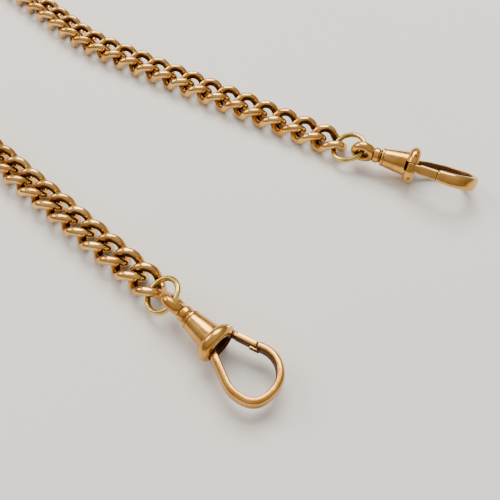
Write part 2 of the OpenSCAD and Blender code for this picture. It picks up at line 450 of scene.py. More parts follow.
# ---------------------------------------------------------------- finishes
def linear(hex_colour: str) -> tuple[float, float, float, float]:
    """Turn an sRGB hex colour into linear light.

    Args:
        hex_colour: colour such as "#c08040".
    Returns:
        Red, green, blue and alpha.
    """
    parts = [int(hex_colour[k : k + 2], 16) / 255.0 for k in (1, 3, 5)]
    red, green, blue = (p / 12.92 if p <= 0.04045 else ((p + 0.055) / 1.055) ** 2.4 for p in parts)
    return red, green, blue, 1.0


def add_node(tree: bpy.types.NodeTree, kind: str, settings: dict, links: dict) -> bpy.types.Node:
    """Add a node to a material, with its settings and the links into it.

    Args:
        tree: node tree of the material.
        kind: Blender's name of the node.
        settings: properties by name, or socket values by name or number.
        links: output sockets that feed this node's inputs, by name or number.
    Returns:
        The node.
    """
    node = tree.nodes.new(kind)
    for key, value in settings.items():
        if isinstance(key, str) and hasattr(node, key):
            setattr(node, key, value)
        else:
            node.inputs[key].default_value = value
    for key, socket in links.items():
        tree.links.new(socket, node.inputs[key])
    return node


@dataclass(frozen=True)
class Metal:
    """Polished and handled metal: clean on what rubs, browned in the recesses by painted shade and old
    oxide.

    Cloud is the slow change of tone over a few millimetres that alloy and handling leave, and
    scratch is the spacing of hairlines. Real hairlines are hundredths of a millimetre, too fine
    to show, so they are drawn as fine as a render can hold.
    """

    name: str
    bright: str
    deep: str
    shade_and_oxide_colour: str
    roughness: float
    dull: float
    cloud_mm: float = 3.2
    scratch_mm: float = 0.14
    shade_and_oxide_share: float = 1.0
    dent: float = 0.035

    def make(self) -> bpy.types.Material:
        """Build the material.

        Returns:
            The material, with no number of the render in it.
        """
        material = bpy.data.materials.new(self.name)
        material.use_nodes = True
        tree = material.node_tree
        tree.nodes.clear()
        place = add_node(tree, "ShaderNodeTexCoord", {}, {}).outputs["Object"]
        recess = add_node(tree, "ShaderNodeAttribute", {"attribute_name": "recess"}, {}).outputs["Fac"]
        per_metre = 1.0 / MM
        cloud = add_node(tree, "ShaderNodeTexNoise",
                         {"Scale": per_metre / self.cloud_mm, "Detail": 3.0, "Roughness": 0.55},
                         {"Vector": place}).outputs["Fac"]
        patch = add_node(tree, "ShaderNodeTexNoise",
                         {"Scale": per_metre / (0.22 * self.cloud_mm), "Detail": 4.0, "Roughness": 0.6},
                         {"Vector": place}).outputs["Fac"]
        stretch = add_node(tree, "ShaderNodeMapping", {"Scale": (1.0, 0.16, 0.5)}, {"Vector": place})
        hairline = add_node(tree, "ShaderNodeTexNoise",
                            {"Scale": per_metre / self.scratch_mm, "Detail": 2.0},
                            {"Vector": stretch.outputs["Vector"]}).outputs["Fac"]
        tone = add_node(tree, "ShaderNodeMapRange",
                        {"From Min": 0.34, "From Max": 0.66, "To Min": 0.0, "To Max": 1.0},
                        {"Value": cloud}).outputs["Result"]
        clean = add_node(tree, "ShaderNodeMix",
                         {"data_type": "RGBA", 6: linear(self.bright), 7: linear(self.deep)},
                         {0: tone}).outputs[2]
        ragged = add_node(tree, "ShaderNodeMath", {"operation": "MULTIPLY_ADD", 1: 0.55},
                          {0: patch, 2: recess}).outputs[0]
        # Painted shade and old oxide: the recesses that paint() marks turn brown, in ragged patches.
        shade_and_oxide_mask = add_node(tree, "ShaderNodeMapRange",
                        {"interpolation_type": "SMOOTHSTEP", "From Min": 0.55, "From Max": 1.15,
                         "To Min": 0.0, "To Max": self.shade_and_oxide_share},
                        {"Value": ragged}).outputs["Result"]
        colour = add_node(tree, "ShaderNodeMix", {"data_type": "RGBA", 7: linear(self.shade_and_oxide_colour)},
                          {0: shade_and_oxide_mask, 6: clean}).outputs[2]
        rubbed = add_node(tree, "ShaderNodeMapRange",
                          {"From Min": 0.3, "From Max": 0.75, "To Min": self.roughness * 0.75,
                           "To Max": self.roughness * 1.4},
                          {"Value": patch}).outputs["Result"]
        rough = add_node(tree, "ShaderNodeMath", {"operation": "MULTIPLY_ADD", 1: self.dull},
                         {0: shade_and_oxide_mask, 2: rubbed}).outputs[0]
        dents = add_node(tree, "ShaderNodeBump", {"Strength": 0.35, "Distance": self.dent * MM},
                         {"Height": patch}).outputs["Normal"]
        lines = add_node(tree, "ShaderNodeBump", {"Strength": 0.12, "Distance": 0.006 * MM},
                         {"Height": hairline, "Normal": dents}).outputs["Normal"]
        shader = add_node(tree, "ShaderNodeBsdfPrincipled", {"Metallic": 1.0},
                          {"Base Color": colour, "Roughness": rough, "Normal": lines})
        add_node(tree, "ShaderNodeOutputMaterial", {}, {"Surface": shader.outputs["BSDF"]})
        return material


# Rose-yellow gold, drawn, bent, soldered and polished: warm and mirror-like where it rubs,
# dark brown in the recesses with painted shade and with oxide of its copper.
ROSE_GOLD = Metal("rose_gold", "#e9bb70", "#c88e46", "#54300f", 0.18, 0.24)
# The same gold cast and turned for the clips: a little redder, with softer polish.
CLIP_GOLD = Metal("clip_gold", "#e2ae5e", "#c48a3f", "#684427", 0.21, 0.26, cloud_mm=4.5)
# Greener yellow gold of the replaced jump rings, with painted shade and tarnish in its recesses that aren't
# copper brown.
GREEN_GOLD = Metal("green_gold", "#dfc478", "#bf9c44", "#6d5a20", 0.22, 0.2, cloud_mm=1.8)
# Spring steel, rolled and blued by age.
SPRING_STEEL = Metal("spring_steel", "#8f8a82", "#6f6a62", "#3a332a", 0.32, 0.2, cloud_mm=1.5)


@dataclass(frozen=True)
class Paper:
    """Smooth matt card that the chain lies on: pale, faintly warm, with a soft cloudiness."""

    name: str
    light: str
    shade: str
    cloud_mm: float = 60.0

    def make(self) -> bpy.types.Material:
        """Build the material.

        Returns:
            The material.
        """
        material = bpy.data.materials.new(self.name)
        material.use_nodes = True
        tree = material.node_tree
        tree.nodes.clear()
        place = add_node(tree, "ShaderNodeTexCoord", {}, {}).outputs["Object"]
        cloud = add_node(tree, "ShaderNodeTexNoise", {"Scale": 1.0 / (self.cloud_mm * MM), "Detail": 2.0},
                         {"Vector": place}).outputs["Fac"]
        colour = add_node(tree, "ShaderNodeMix",
                          {"data_type": "RGBA", 6: linear(self.light), 7: linear(self.shade)},
                          {0: cloud}).outputs[2]
        shader = add_node(tree, "ShaderNodeBsdfPrincipled", {"Roughness": 0.75}, {"Base Color": colour})
        add_node(tree, "ShaderNodeOutputMaterial", {}, {"Surface": shader.outputs["BSDF"]})
        return material


class Slot(Enum):
    """Material slots of the record."""

    GOLD = "gold"
    RING_GOLD = "ring_gold"
    SPRING_STEEL = "spring_steel"


def finish_piece(obj: bpy.types.Object, material: bpy.types.Material,
                 body: str, node: str) -> None:
    """Dress a piece and body, and let it stand for its node.

    Args:
        obj: the piece, in place.
        material: its finish.
        body: body that carries it.
        node: node that it replaces.
    """
    obj.data.materials.clear()
    obj.data.materials.append(material)
    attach(obj, body)
    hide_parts(node)
    LOG.info("%s rides on %s: %d faces", obj.name, body, len(obj.data.polygons))


# ---------------------------------------------------------------- where things lie
@dataclass(frozen=True)
class Hinge:
    """A joint of the part: its place in metres and its axis."""

    place: Array
    axis: Array


def hinge_between(first: str, second: str) -> Hinge:
    """Find the joint that connects two bodies.

    Args:
        first: name of one body.
        second: name of the other.
    Returns:
        The joint.
    """
    pair = {first, second}
    joint = next(j for j in frame["joints"] if {j["parent"], j["child"]} == pair)
    return Hinge(np.array(joint["pos_m"], float), np.array(joint["axis"], float))


# ---------------------------------------------------------------- curb links
@dataclass(frozen=True)
class CurbLink:
    """One curb link: a loop of round wire, twisted, with its sides and faces filed bright.

    The centreline is six arcs. Each end is an arc in a plane that is tilted about the length of
    the link, and each side is two arcs that carry the wire from one end to the other. The four
    side arcs meet on the Y axis, at the one point that keeps the loop free of corners.
    """

    wire: float = 1.64
    reach: float = 3.33
    bend: float = 1.9
    tilt: float = 47.0
    half_sweep: float = 32.0
    flat_side: float = 3.1
    flat_face: float = 2.0
    along: int = 44
    around: int = 32

    def side_arc(self, start: Array, direction: Array, end: Array) -> Array:
        """Arc from start, leaving along direction, to end: C - r n cos t + r T sin t.

        Args:
            start: first point.
            direction: unit tangent there.
            end: last point.
        Returns:
            Points (along, 3).
        """
        chord = end - start
        inward = unit(chord - (chord @ direction) * direction)
        radius = (chord @ chord) / (2.0 * (chord @ inward))
        sweep_angle = 2.0 * math.acos(chord @ direction / np.linalg.norm(chord))
        t = np.linspace(0.0, sweep_angle, self.along)[:, None]
        return start + radius * inward * (1.0 - np.cos(t)) + radius * direction * np.sin(t)

    def centreline(self) -> Array:
        """Closed centreline, evenly spaced.

        Returns:
            Points (n, 3) in the link's own frame, with X along the chain.
        """
        tilt, half = math.radians(self.tilt), math.radians(self.half_sweep)
        lean = np.array([0.0, math.cos(tilt), -math.sin(tilt)])
        centre = np.array([self.reach - self.bend, 0.0, 0.0])
        t = np.linspace(-half, half, self.along)[:, None]
        end = centre + self.bend * (np.cos(t) * [1.0, 0.0, 0.0] - np.sin(t) * lean)
        leg = end[-1]
        heading = -math.sin(half) * np.array([1.0, 0.0, 0.0]) - math.cos(half) * lean
        a = -(heading[0] * leg[0] + heading[2] * leg[2])
        b = leg[0] ** 2 + leg[2] ** 2
        side_y = leg[1] + (-a + math.sqrt(a * a + heading[1] ** 2 * b)) / heading[1]
        half_side = self.side_arc(leg, heading, np.array([0.0, side_y, 0.0]))
        mirrored = half_side[::-1] * [-1.0, 1.0, -1.0]
        near = np.concatenate([half_side, mirrored[1:]])
        far = near * [1.0, -1.0, -1.0]
        other_end = end * [-1.0, 1.0, -1.0]
        loop = np.concatenate([end[:-1], near[:-1], other_end[::-1][:-1], far[::-1][:-1]])
        return self.even(loop)

    def even(self, loop: Array) -> Array:
        """Space a closed line evenly by its length, then ease its changes of curvature.

        Args:
            loop: points (n, 3).
        Returns:
            Points (4 * along, 3).
        """
        closed = np.concatenate([loop, loop[:1]])
        length = np.concatenate([[0.0], np.cumsum(np.linalg.norm(np.diff(closed, axis=0), axis=1))])
        count = 4 * self.along
        s = np.linspace(0.0, length[-1], count, endpoint=False)
        line = np.stack([np.interp(s, length, closed[:, k]) for k in range(3)], -1)
        for _ in range(6):
            line = 0.5 * line + 0.25 * (np.roll(line, 1, 0) + np.roll(line, -1, 0))
        return line

    def build(self, name: str, seat: Seat) -> bpy.types.Object:
        """Build the link in place.

        Args:
            name: name of the object.
            seat: place of the link.
        Returns:
            The object, with painted shade and oxide where neighbours shelter it.
        """
        line = self.centreline()
        tangent = unit(np.roll(line, -1, 0) - np.roll(line, 1, 0))
        out = unit(line - np.sum(line * tangent, -1, keepdims=True) * tangent)
        across = np.cross(tangent, out)
        grid = sweep(line, out, across, ring_section(self.wire / 2, self.around))
        grid[..., 1] = soft_limit(grid[..., 1], self.flat_side, 0.035)
        grid[..., 2] = soft_limit(grid[..., 2], self.flat_face, 0.035)
        obj = closed_tube(name, grid)
        inner = np.repeat(line, self.around, axis=0)
        outward = np.repeat(out, self.around, axis=0)

        def shade(points: Array, normals: Array) -> Array:
            """Painted shade and oxide on the wire's inner side and where the next link's end rests in this
            one.

            Args:
                points: places of the vertices, one row each.
                normals: unit normals at the vertices, one row each.
            Returns:
                Amount of painted shade and oxide at each vertex.
            """
            inward = -np.sum(unit(points - inner) * outward, -1)
            sheltered = smooth_step(0.0, 0.9, inward)
            crossing = bump_at(np.abs(points[:, 0]), 1.5, 0.9) * smooth_step(-0.5, 0.4, inward)
            return 0.78 * sheltered + 0.3 * crossing

        paint(obj, shade)
        return seat.settle(obj)


@dataclass(frozen=True)
class Chain:
    """The run of curb links from the watch end round to the fob end.

    A joint lies half a pitch from each link's middle, along the link's own heading, so the joints
    and the ends of the chain give every link's place.
    """

    pitch: float = 4.7
    end_links: int = 12
    middle_nodes: int = 20

    def bodies(self) -> list[str]:
        """Names of the bodies in order along the chain."""
        watch = [f"watch_end_link_{k:02d}" for k in range(1, self.end_links + 1)]
        middle = [f"middle_links_{k:02d}" for k in range(1, self.middle_nodes + 1)]
        fob = [f"fob_end_link_{k:02d}" for k in range(self.end_links, 0, -1)]
        return watch + middle + fob

    def seat(self, centre: Array, heading: Array) -> Seat:
        """Place of a link from its middle and its heading.

        Args:
            centre: middle of the link in metres.
            heading: direction of the chain there.
        Returns:
            The place.
        """
        along = unit(np.array([heading[0], heading[1], 0.0]))
        up = np.array([0.0, 0.0, 1.0])
        return Seat(centre, np.stack([along, np.cross(up, along), up], -1))

    def places(self) -> dict[str, list[Seat]]:
        """Places of the links of every body.

        Returns:
            For each body, its one or two links in order.
        """
        names = self.bodies()
        step = self.pitch * MM
        joints = np.array([hinge_between(a, b).place for a, b in zip(names, names[1:])])
        result: dict[str, list[Seat]] = {}
        for number, name in enumerate(names):
            if "middle" not in name:
                low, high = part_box(name)
                centre = (np.array(low) + np.array(high)) / 2
                ahead = joints[number] - centre if number < len(joints) else centre - joints[-1]
                result[name] = [self.seat(centre, ahead)]
                continue
            before, after = joints[number - 1], joints[number]
            span = after - before
            turn = np.cross(before - joints[number - 2], joints[(number + 1) % len(joints)] - after)[2]
            half = math.acos(min(1.0, np.linalg.norm(span) / (2.0 * step))) * np.sign(turn)
            first = rotation(-math.degrees(half), "Z") @ unit(span)
            second = rotation(math.degrees(half), "Z") @ unit(span)
            result[name] = [
                self.seat(before + first * step / 2, first),
                self.seat(after - second * step / 2, second),
            ]
        return result

    def build(self, link: CurbLink, material: bpy.types.Material) -> None:
        """Build and dress every link.

        Args:
            link: the shape of one link.
            material: its gold.
        """
        for body, seats in self.places().items():
            pieces = [link.build(f"{body}_gold_{k + 1}", seat) for k, seat in enumerate(seats)]
            for piece in pieces:
                finish_piece(piece, material, body, body)


# ---------------------------------------------------------------- clips
class End(Enum):
    """The two ends of the chain."""

    WATCH = "watch_end"
    FOB = "fob_end"


@dataclass(frozen=True)
class JumpRing:
    """A ring of round wire, closed by a solder seam that stands a little proud."""

    end: End
    seam_at: float
    radius: float = 3.175
    wire: float = 1.05
    along: int = 192
    around: int = 32

    def seat(self) -> Seat:
        """Place of the ring: midway between its two joints, in the plane that holds their axis."""
        link = hinge_between(f"{self.end.value}_link_01", f"{self.end.value}_ring_body")
        eye = hinge_between(f"{self.end.value}_ring_body", f"{self.end.value}_eye_body")
        along = unit(eye.place - link.place)
        across = unit(eye.axis - (eye.axis @ along) * along)
        return Seat((link.place + eye.place) / 2, np.stack([along, across, np.cross(along, across)], -1))

    def build(self, material: bpy.types.Material) -> None:
        """Build and dress the ring: a torus whose wire swells at the seam, with a fine groove in it.

        Args:
            material: what the piece is dressed in.
        """
        a = np.linspace(0.0, 2.0 * math.pi, self.along, endpoint=False)
        out = np.stack([np.cos(a), np.sin(a), np.zeros_like(a)], -1)
        up = np.broadcast_to([0.0, 0.0, 1.0], out.shape)
        from_seam = (a - math.radians(self.seam_at) + math.pi) % (2.0 * math.pi) - math.pi
        arc = from_seam * self.radius
        swell = 0.035 * bump_at(arc, 0.22, 0.4) - 0.05 * bump_at(arc, 0.0, 0.07)
        section = ring_section(1.0, self.around) * (self.wire / 2 - 0.03 + swell)[:, None, None]
        obj = closed_tube(f"{self.end.value}_jump_ring_wire", sweep(out * self.radius, out, up, section))

        def shade(points: Array, normals: Array) -> Array:
            """Painted shade and oxide on the inside of the ring, and oxide in the groove of the seam.

            Args:
                points: places of the vertices, one row each.
                normals: unit normals at the vertices, one row each.
            Returns:
                Amount of painted shade and oxide at each vertex.
            """
            radial = unit(points * [1.0, 1.0, 0.0])
            inward = -np.sum(normals * radial, -1)
            groove = np.repeat(bump_at(arc, 0.0, 0.08), self.around)
            return 0.62 * smooth_step(0.1, 0.9, inward) + 0.8 * groove

        paint(obj, shade)
        self.seat().settle(obj)
        side = self.end.value
        finish_piece(obj, material, f"{side}_ring_body", f"{side}_jump_ring")


@dataclass(frozen=True)
class Clip:
    """A swivelling dog clip: eye and shank, barrel, collar, hook, and a sprung gate on its pin.

    In the clip's frame the middle of the eye is the origin, X runs to the hook, and the gate is on
    the +Y side. All sizes are millimetres in that frame.
    """

    end: End
    eye_turn: float
    corner: float
    eye_radius: float = 1.55
    eye_wire: float = 1.4
    eye_width: float = 1.95
    bead_radius: float = 1.5
    shank_radius: float = 0.6
    barrel_start: float = 3.85
    small_radius: float = 1.8
    large_radius: float = 2.45
    bore_radius: float = 2.0
    barrel_end: float = 10.75
    collar_x: float = 9.9
    collar_middle: float = 2.5
    collar_tube: float = 1.1
    slot_width: float = 1.84
    band_width: float = 2.58
    band_thick: float = 1.4
    loop_radius: float = 4.4
    loop_centre: tuple[float, float] = (17.5, 0.45)
    spine_angle: float = -112.0
    nose_angle: float = 110.0
    nose_length: float = 1.0
    pin_x: float = 10.0
    pin_y: float = 2.75
    pin_radius: float = 0.3
    pin_length: float = 3.9

    def name(self, piece: str) -> str:
        """Name of a node, body or piece of this clip."""
        return f"{self.end.value}_{piece}"

    def seat(self) -> Seat:
        """Place of the clip, from its swivel and from the pin of its gate."""
        swivel = hinge_between(self.name("eye_body"), self.name("clip_body"))
        pin = hinge_between(self.name("clip_body"), self.name("gate_body"))
        along, up = unit(swivel.axis), unit(pin.axis)
        return Seat(swivel.place, np.stack([along, np.cross(up, along), up], -1))

    def eye_seat(self) -> Seat:
        """Place of the eye: the clip's axis, with the turn of the eye about it from the level."""
        along = self.seat().axes[:, 0]
        level = unit(np.cross([0.0, 0.0, 1.0], along))
        turn = math.radians(self.eye_turn)
        across = math.cos(turn) * level + math.sin(turn) * np.cross(along, level)
        return Seat(self.seat().origin, np.stack([along, across, np.cross(along, across)], -1))

    def eye(self, material: bpy.types.Material) -> None:
        """Build the eye, its bead and the shank with its head inside the barrel.

        The loop is a torus in the XZ plane with an oval wire, wider than it is thick. It grows
        towards the neck, where a is pi: thickness t (1 + 0.10 h), width w (1 + 0.16 h), with
        h = smooth_step(0.3, 1, -cos a).

        Args:
            material: what the piece is dressed in.
        """
        a = np.linspace(0.0, 2.0 * math.pi, 160, endpoint=False)
        out = np.stack([-np.cos(a), np.zeros_like(a), np.sin(a)], -1)
        across = np.broadcast_to([0.0, 1.0, 0.0], out.shape)
        neck = smooth_step(0.3, 1.0, -np.cos(a))
        thick = 0.5 * (self.eye_wire + 0.1) * (1.0 + 0.10 * neck)
        width = 0.5 * (self.eye_width - 0.02) * (1.0 + 0.16 * neck)
        section = ring_section(1.0, 48) * np.stack([thick, width], -1)[:, None]
        path = out * (self.eye_radius + 0.06)
        path[:, 0] += 0.22 * neck
        loop = closed_tube(self.name("swivel_eye_metal"), sweep(path, out, across, section))
        start = self.barrel_start - 0.06
        profile = rounded_line([
            (1.3, 0.0), (1.3, 0.9), (1.9, 1.02), (2.22, 1.22), (2.4, self.bead_radius),
            (3.26, self.bead_radius), (3.42, 1.26), (start, 1.3), (start, self.shank_radius),
            (5.2, self.shank_radius), (5.2, 1.15), (5.5, 1.15), (5.7, 0.7), (5.7, 0.0)], 0.16)
        shank = turned_shape("shank", dense_line(profile, 0.2), 96)
        obj = join(loop, shank, Join.UNION)

        def shade(points: Array, normals: Array) -> Array:
            """Painted shade and oxide inside the loop, under the bead and along the shank.

            Args:
                points: places of the vertices, one row each.
                normals: unit normals at the vertices, one row each.
            Returns:
                Amount of painted shade and oxide at each vertex.
            """
            x, y, z = points.T
            radius = np.hypot(y, z)
            to_middle = -np.sum(normals * unit(points * [1.0, 0.0, 1.0] + 1e-9), -1)
            inside = smooth_step(0.2, 0.9, to_middle) * smooth_step(2.4, 1.9, x)
            groove = bump_at(x, 3.62, 0.2) * 0.9 + bump_at(x, 2.2, 0.18) * smooth_step(1.5, 1.2, radius)
            return 0.75 * inside + groove + smooth_step(self.barrel_start - 0.1, self.barrel_start, x)

        paint(obj, shade)
        self.eye_seat().settle(obj)
        finish_piece(obj, material, self.name("eye_body"), self.name("swivel_eye"))

    def knuckle_slot(self) -> bpy.types.Object:
        """The slot for the gate's knuckle, as a block to cut with."""
        block = rounded_block("slot", (4.0, 4.0, self.slot_width), 0.0)
        return move_points(block, np.eye(3), np.array([self.pin_x - 1.35 + 2.0, 1.35 + 2.0, 0.0]))

    def barrel(self, material: bpy.types.Material) -> None:
        """Build the barrel: a tapered tube, banded and grooved at its small end and slotted for the gate.

        Args:
            material: what the piece is dressed in.
        """
        start, end = self.barrel_start, self.barrel_end
        wall = self.large_radius - self.bore_radius
        neck = self.collar_x - 1.05
        outside = [
            (start, self.shank_radius + 0.05), (start, self.small_radius - 0.12),
            (start + 0.1, self.small_radius),
            (start + 0.42, self.small_radius), (start + 0.5, self.small_radius - 0.13),
            (start + 0.58, self.small_radius - 0.02), (neck - 0.55, self.large_radius - 0.1),
            (neck, self.large_radius), (end, self.large_radius), (end, self.bore_radius),
            (neck, self.bore_radius), (start + 1.2, self.small_radius - wall),
            (start + 1.2, self.shank_radius + 0.05), (start, self.shank_radius + 0.05),
            (start, self.small_radius - 0.12)]
        outline = dense_line(rounded_line(outside, 0.07, 5)[1:-1], 0.3)
        obj = join(turned_ring(self.name("barrel_shell"), outline, 160), self.knuckle_slot(), Join.CUT)

        def shade(points: Array, normals: Array) -> Array:
            """Painted shade and oxide in the groove, in the bore and against the collar.

            Args:
                points: places of the vertices, one row each.
                normals: unit normals at the vertices, one row each.
            Returns:
                Amount of painted shade and oxide at each vertex.
            """
            x = points[:, 0]
            inward = -np.sum(normals * unit(points * [0.0, 1.0, 1.0] + 1e-9), -1)
            return (smooth_step(0.1, 0.6, inward) + 0.75 * bump_at(x, start + 0.5, 0.07)
                    + 0.85 * smooth_step(neck - 0.12, neck + 0.12, x)
                    + 0.6 * smooth_step(start + 0.05, start, x))

        paint(obj, shade)
        self.seat().settle(obj)
        finish_piece(obj, material, self.name("clip_body"), self.name("barrel"))

    def collar(self, material: bpy.types.Material) -> None:
        """Build the collar: a torus on the barrel's mouth, bored for it, slotted and drilled for the pin.

        Args:
            material: what the piece is dressed in.
        """
        a = np.linspace(0.0, 2.0 * math.pi, 72, endpoint=False)
        tube = self.collar_tube
        flat = self.large_radius + 0.005 - self.collar_middle
        outline = np.stack([self.collar_x + tube * np.cos(a),
                            self.collar_middle + np.maximum(tube * np.sin(a), flat)], -1)
        keep = (tube * np.sin(a) > flat) | (np.abs(tube * np.cos(a)) > 0.6 * tube)
        obj = join(turned_ring(self.name("collar_ring"), outline[keep], 192), self.knuckle_slot(), Join.CUT)
        hole = turned_shape("hole", np.array([[-3.0, 0.0], [-3.0, self.pin_radius], [3.0, self.pin_radius],
                                              [3.0, 0.0]]), 48)
        move_points(hole, rotation(-90.0, "Y"), np.array([self.pin_x, self.pin_y, 0.0]))
        obj = join(obj, hole, Join.CUT)

        def shade(points: Array, normals: Array) -> Array:
            """Painted shade and oxide where the collar meets the barrel, in its mouth, and in its slot.

            Args:
                points: places of the vertices, one row each.
                normals: unit normals at the vertices, one row each.
            Returns:
                Amount of painted shade and oxide at each vertex.
            """
            y, z = points.T[1:]
            radius = np.hypot(y, z)
            low = smooth_step(self.collar_middle + 0.55, self.collar_middle - 0.1, radius)
            in_slot = smooth_step(0.6, 0.9, np.abs(normals[:, 2])) * (np.abs(z) < self.slot_width / 2 + 0.02)
            return 0.9 * low + 0.9 * in_slot * (y > 0)

        paint(obj, shade)
        self.seat().settle(obj)
        finish_piece(obj, material, self.name("clip_body"), self.name("collar"))

    def band(self, count: int) -> tuple[Array, Array, Array]:
        """Centreline of the hook in the clip's plane, with its outward direction and its length.

        It is a straight spine from the barrel's mouth, a round loop that is fuller at the corner
        opposite the gate, and a straight nose. The loop is R + corner exp(-((a + 42) / 26)^2).

        Args:
            count: number of points.
        Returns:
            Points (count, 2), outward unit vectors (count, 2) and distances along (count).
        """
        degrees = np.linspace(self.spine_angle, self.nose_angle, 240)
        radius = self.loop_radius + self.corner * bump_at(degrees, -42.0, 26.0)
        turn = np.radians(degrees)
        loop = np.array(self.loop_centre) + radius[:, None] * np.stack([np.cos(turn), np.sin(turn)], -1)
        spine_run = np.array([math.sin(turn[0]), -math.cos(turn[0])])
        spine_length = (loop[0, 0] - self.collar_x - 0.35) / -spine_run[0]
        nose_run = np.array([-math.sin(turn[-1]), math.cos(turn[-1])])
        spine = loop[0] + spine_run * np.linspace(spine_length, 0.02, 90)[:, None]
        nose = loop[-1] + nose_run * np.linspace(0.02, self.nose_length, 24)[:, None]
        line = np.concatenate([spine, loop, nose])
        length = np.concatenate([[0.0], np.cumsum(np.linalg.norm(np.diff(line, axis=0), axis=1))])
        s = np.linspace(0.0, length[-1], count)
        even = np.stack([np.interp(s, length, line[:, k]) for k in range(2)], -1)
        for _ in range(12):
            even[1:-1] = 0.5 * even[1:-1] + 0.25 * (even[:-2] + even[2:])
        run = unit(np.gradient(even, axis=0))
        return even, np.stack([run[:, 1], -run[:, 0]], -1), s

    def hook(self, material: bpy.types.Material) -> None:
        """Build the hook: a D-shaped band, domed outside and flat inside, tapered at both ends.

        The section is (t sin^0.8 a, w cos^0.62 a) outside, and flatter inside:
        (-t |sin a|^0.34, w cos^0.62 a), with the signs of sin a and cos a kept.

        Args:
            material: what the piece is dressed in.
        """
        line, out, s = self.band(220)
        total = s[-1]
        a = np.linspace(0.0, 2.0 * math.pi, 56, endpoint=False)
        sine, cosine = np.sin(a), np.cos(a)
        width = 0.5 * self.band_width * (0.84 + 0.16 * smooth_step(0.0, 3.0, s)
                                         - 0.10 * smooth_step(total - 6.0, total, s))
        outer = 0.5 * self.band_thick * (0.94 + 0.10 * smooth_step(0.0, 4.0, s))
        inner = 0.5 * self.band_thick * (0.88 - 0.06 * smooth_step(total - 6.0, total, s))
        tip = np.sqrt(np.clip(1.0 - (1.0 - np.clip((total - s) / 0.28, 0.0, 1.0)) ** 2, 0.0, 1.0))
        scale = 0.78 + 0.22 * tip
        across = np.sign(cosine) * np.abs(cosine) ** 0.62
        thick = np.where(sine > 0, outer[:, None] * np.abs(sine) ** 0.8,
                         -inner[:, None] * np.abs(sine) ** 0.34)
        section = np.stack([thick, width[:, None] * across[None]], -1) * scale[:, None, None]
        path = np.column_stack([line, np.zeros(len(line))])
        outward = np.column_stack([out, np.zeros(len(line))])
        up = np.broadcast_to([0.0, 0.0, 1.0], path.shape)
        obj = capped_tube(self.name("hook_band"), sweep(path, outward, up, section))
        ring = np.repeat(outward, len(a), axis=0)
        ring = np.concatenate([ring, -outward[:1], outward[-1:]])
        to_nose = np.concatenate([np.repeat(total - s, len(a)), [total, 0.0]])

        def shade(points: Array, normals: Array) -> Array:
            """Painted shade and oxide on the flat inner face, and where the hook leaves the barrel.

            Args:
                points: places of the vertices, one row each.
                normals: unit normals at the vertices, one row each.
            Returns:
                Amount of painted shade and oxide at each vertex.
            """
            inward = -np.sum(normals * ring, -1)
            root = smooth_step(self.collar_x + 2.2, self.collar_x + 0.9, points[:, 0])
            seam = smooth_step(0.2, 0.02, to_nose)
            return 0.95 * smooth_step(0.35, 0.95, inward) + 0.6 * root + 0.9 * seam

        paint(obj, shade)
        self.seat().settle(obj)
        finish_piece(obj, material, self.name("clip_body"), self.name("hook"))

    def gate(self, material: bpy.types.Material) -> None:
        """Build the gate: knuckle, bar, the tongue behind the nose and the tail inside the barrel.

        Args:
            material: what the piece is dressed in.
        """
        nose = math.radians(self.nose_angle)
        nose_run = np.array([-math.sin(nose), math.cos(nose)])
        tip = (np.array(self.loop_centre) + self.loop_radius * np.array([math.cos(nose), math.sin(nose)])
               + (self.nose_length + 0.12) * nose_run)
        pin = np.array([self.pin_x, self.pin_y])
        run = unit(tip - pin)
        length = float(np.linalg.norm(tip - pin))
        out = np.array([-run[1], run[0]])
        s = np.linspace(0.0, length, 60)
        thick = 0.5 * (1.06 + 0.10 * smooth_step(1.2, 2.0, s) - 0.12 * smooth_step(length - 0.15, length, s))
        width = 0.5 * (1.55 + 0.33 * smooth_step(1.25, 1.75, s) - 0.1 * smooth_step(length - 0.2, length, s))
        a = np.linspace(0.0, 2.0 * math.pi, 48, endpoint=False)
        corner = 0.42
        shape = np.stack([np.sign(np.sin(a)) * np.abs(np.sin(a)) ** corner,
                          np.sign(np.cos(a)) * np.abs(np.cos(a)) ** corner], -1)
        section = shape[None] * np.stack([thick, width], -1)[:, None]
        path = np.column_stack([pin + run * s[:, None], np.zeros(len(s))])
        outward = np.broadcast_to(np.array([*out, 0.0]), path.shape)
        up = np.broadcast_to([0.0, 0.0, 1.0], path.shape)
        obj = capped_tube(self.name("gate_bar"), sweep(path, outward, up, section))
        half = 0.8
        knuckle = turned_shape("knuckle", dense_line(rounded_line(
            [(-half, 0.0), (-half, 0.85), (half, 0.85), (half, 0.0)], 0.08), 0.4), 72)
        move_points(knuckle, rotation(-90.0, "Y"), np.array([*pin, 0.0]))
        obj = join(obj, knuckle, Join.UNION)
        turned = np.array([[run[0], out[0], 0.0], [run[1], out[1], 0.0], [0.0, 0.0, 1.0]])
        tongue = rounded_block("tongue", (1.7, 0.26, 0.96), 0.08)
        move_points(tongue, turned, np.array([*(pin + run * (length - 0.05) - out * 0.76), 0.0]))
        step = rounded_block("step", (0.7, 0.6, 0.96), 0.06)
        move_points(step, turned, np.array([*(pin + run * (length - 0.5) - out * 0.56), 0.0]))
        tail = rounded_block("tail", (1.9, 0.56, 0.96), 0.08)
        tail_turn = rotation(-105.0, "Z")
        move_points(tail, tail_turn, np.array([*pin, 0.0]) + tail_turn @ np.array([0.95, 0.0, 0.0]))
        for block in (tongue, step, tail):
            obj = join(obj, block, Join.UNION)
        hole = turned_shape("hole", np.array([[-3.0, 0.0], [-3.0, 0.34], [3.0, 0.34], [3.0, 0.0]]), 48)
        move_points(hole, rotation(-90.0, "Y"), np.array([*pin, 0.0]))
        obj = join(obj, hole, Join.CUT)

